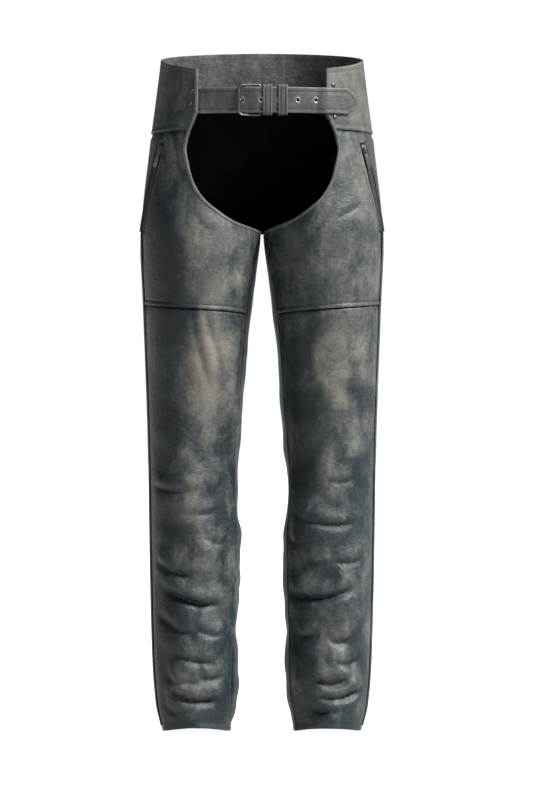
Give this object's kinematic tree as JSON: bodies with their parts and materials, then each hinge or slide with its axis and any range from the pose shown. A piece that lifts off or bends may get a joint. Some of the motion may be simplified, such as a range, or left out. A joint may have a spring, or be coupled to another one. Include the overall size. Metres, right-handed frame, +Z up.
{
  "type": "leather chaps",
  "caption": "Wrap-round leather leg chaps, open at the front and seat, with a buckled front belt, bound edges, slanted hip zips and covered full-length leg zips.",
  "frame": {"origin": "middle of the wearer's waist, at the height of the belt's middle", "axes": "+Z up, -Y the front with the buckle, +X the wearer's left"},
  "size_m": [0.3796, 0.2279, 1.057],
  "materials": {
    "thigh_leather": "rubbed-off grey grain leather, semi-matt, pale on the high spots",
    "leg_leather": "rubbed-off grey grain leather, semi-matt, dark in the creases",
    "yoke_leather": "rubbed-off warm grey grain leather",
    "facing_leather": "mottled grey leather, flesh side finished",
    "binding_leather": "pale grey folded leather binding",
    "strap_leather": "firm grey belt leather with edge stitching",
    "lining_fabric": "black woven lining",
    "zip_tape": "black woven zip tape with metal teeth",
    "nickel": "dulled nickel plate"
  },
  "bodies": {
    "root": {"upper_leg_front_left": "thigh_leather", "upper_leg_front_right": "thigh_leather", "lower_leg_front_left": "leg_leather", "lower_leg_front_right": "leg_leather", "leg_back_left": "leg_leather", "leg_back_right": "leg_leather", "front_yoke_left": "yoke_leather", "front_yoke_right": "yoke_leather", "back_yoke_left": "yoke_leather", "back_yoke_right": "yoke_leather", "front_facing_left": "facing_leather", "front_facing_right": "facing_leather", "back_facing_left": "facing_leather", "back_facing_right": "facing_leather", "front_binding_left": "binding_leather", "front_binding_right": "binding_leather", "seat_binding_left": "binding_leather", "seat_binding_right": "binding_leather", "leg_lining_front_left": "lining_fabric", "leg_lining_front_right": "lining_fabric", "leg_lining_back_left": "lining_fabric", "leg_lining_back_right": "lining_fabric", "back_yoke_lining_left": "lining_fabric", "back_yoke_lining_right": "lining_fabric", "hip_pocket_bag_left": "lining_fabric", "hip_pocket_bag_right": "lining_fabric", "hip_zip_left": "zip_tape", "hip_zip_right": "zip_tape", "leg_zip_left": "zip_tape", "leg_zip_right": "zip_tape", "ankle_snap_stud_left": "nickel", "ankle_snap_stud_right": "nickel", "belt_tip_strap": "strap_leather", "belt_buckle_strap": "strap_leather", "belt_keeper_fixed": "strap_leather", "belt_eyelet_1": "nickel", "belt_eyelet_2": "nickel", "belt_eyelet_3": "nickel", "belt_eyelet_4": "nickel", "belt_eyelet_5": "nickel", "strap_rivet_right_upper": "nickel", "strap_rivet_right_lower": "nickel", "strap_rivet_left_upper": "nickel", "strap_rivet_left_lower": "nickel"},
    "buckle_frame_body": {"buckle_frame": "nickel"},
    "buckle_prong_body": {"buckle_prong": "nickel"},
    "sliding_keeper": {"belt_keeper_sliding": "strap_leather"},
    "hip_slider_left": {"hip_zip_slider_left": "nickel"},
    "hip_puller_left": {"hip_zip_puller_left": "nickel"},
    "leg_slider_left": {"leg_zip_slider_left": "nickel", "leg_zip_puller_left": "nickel"},
    "storm_flap_body_left": {"storm_flap_left": "leg_leather", "ankle_snap_cap_left": "nickel"},
    "hip_slider_right": {"hip_zip_slider_right": "nickel"},
    "hip_puller_right": {"hip_zip_puller_right": "nickel"},
    "leg_slider_right": {"leg_zip_slider_right": "nickel", "leg_zip_puller_right": "nickel"},
    "storm_flap_body_right": {"storm_flap_right": "leg_leather", "ankle_snap_cap_right": "nickel"}
  },
  "joints": [
    {"name": "buckle_tilt", "type": "hinge", "parent": "root", "child": "buckle_frame_body", "pos_m": [-0.002, -0.09966, 0], "axis": [0, 0, 1], "range_deg": [-2, 2]},
    {"name": "prong_lift", "type": "hinge", "parent": "buckle_frame_body", "child": "buckle_prong_body", "pos_m": [-0.002, -0.09966, 0], "axis": [0, 0, 1], "range_deg": [0, 3]},
    {"name": "keeper_slide", "type": "hinge", "parent": "root", "child": "sliding_keeper", "pos_m": [0, 0.11403, 0], "axis": [0, 0, 1], "range_deg": [-1.5, 10.4]},
    {"name": "hip_zip_left_slide", "type": "hinge", "parent": "root", "child": "hip_slider_left", "pos_m": [-0.05841, 0.38546, -0.08532], "axis": [0.8574, 0.4289, 0.2846], "range_deg": [0, 13.9]},
    {"name": "hip_puller_left_swing", "type": "hinge", "parent": "hip_slider_left", "child": "hip_puller_left", "pos_m": [0.15843, -0.05514, -0.07457], "axis": [-0.8574, -0.4289, -0.2846], "range_deg": [0, 150]},
    {"name": "leg_zip_left_slide", "type": "slide", "parent": "root", "child": "leg_slider_left", "axis": [0.0313, 0, 0.9995], "range_m": [0, 0.575]},
    {"name": "storm_flap_left_lift", "type": "hinge", "parent": "root", "child": "storm_flap_body_left", "pos_m": [0.1879, -0.01157, -0.197], "axis": [-0.0283, 0.0136, -0.9995], "range_deg": [0, 100]},
    {"name": "hip_zip_right_slide", "type": "hinge", "parent": "root", "child": "hip_slider_right", "pos_m": [0.05841, 0.38546, -0.08532], "axis": [0.8574, -0.4289, -0.2846], "range_deg": [0, 13.9]},
    {"name": "hip_puller_right_swing", "type": "hinge", "parent": "hip_slider_right", "child": "hip_puller_right", "pos_m": [-0.15843, -0.05514, -0.07457], "axis": [-0.8574, 0.4289, 0.2846], "range_deg": [0, 150]},
    {"name": "leg_zip_right_slide", "type": "slide", "parent": "root", "child": "leg_slider_right", "axis": [-0.0313, 0, 0.9995], "range_m": [0, 0.575]},
    {"name": "storm_flap_right_lift", "type": "hinge", "parent": "root", "child": "storm_flap_body_right", "pos_m": [-0.1879, -0.01157, -0.197], "axis": [-0.0283, -0.0136, 0.9995], "range_deg": [0, 100]}
  ]
}
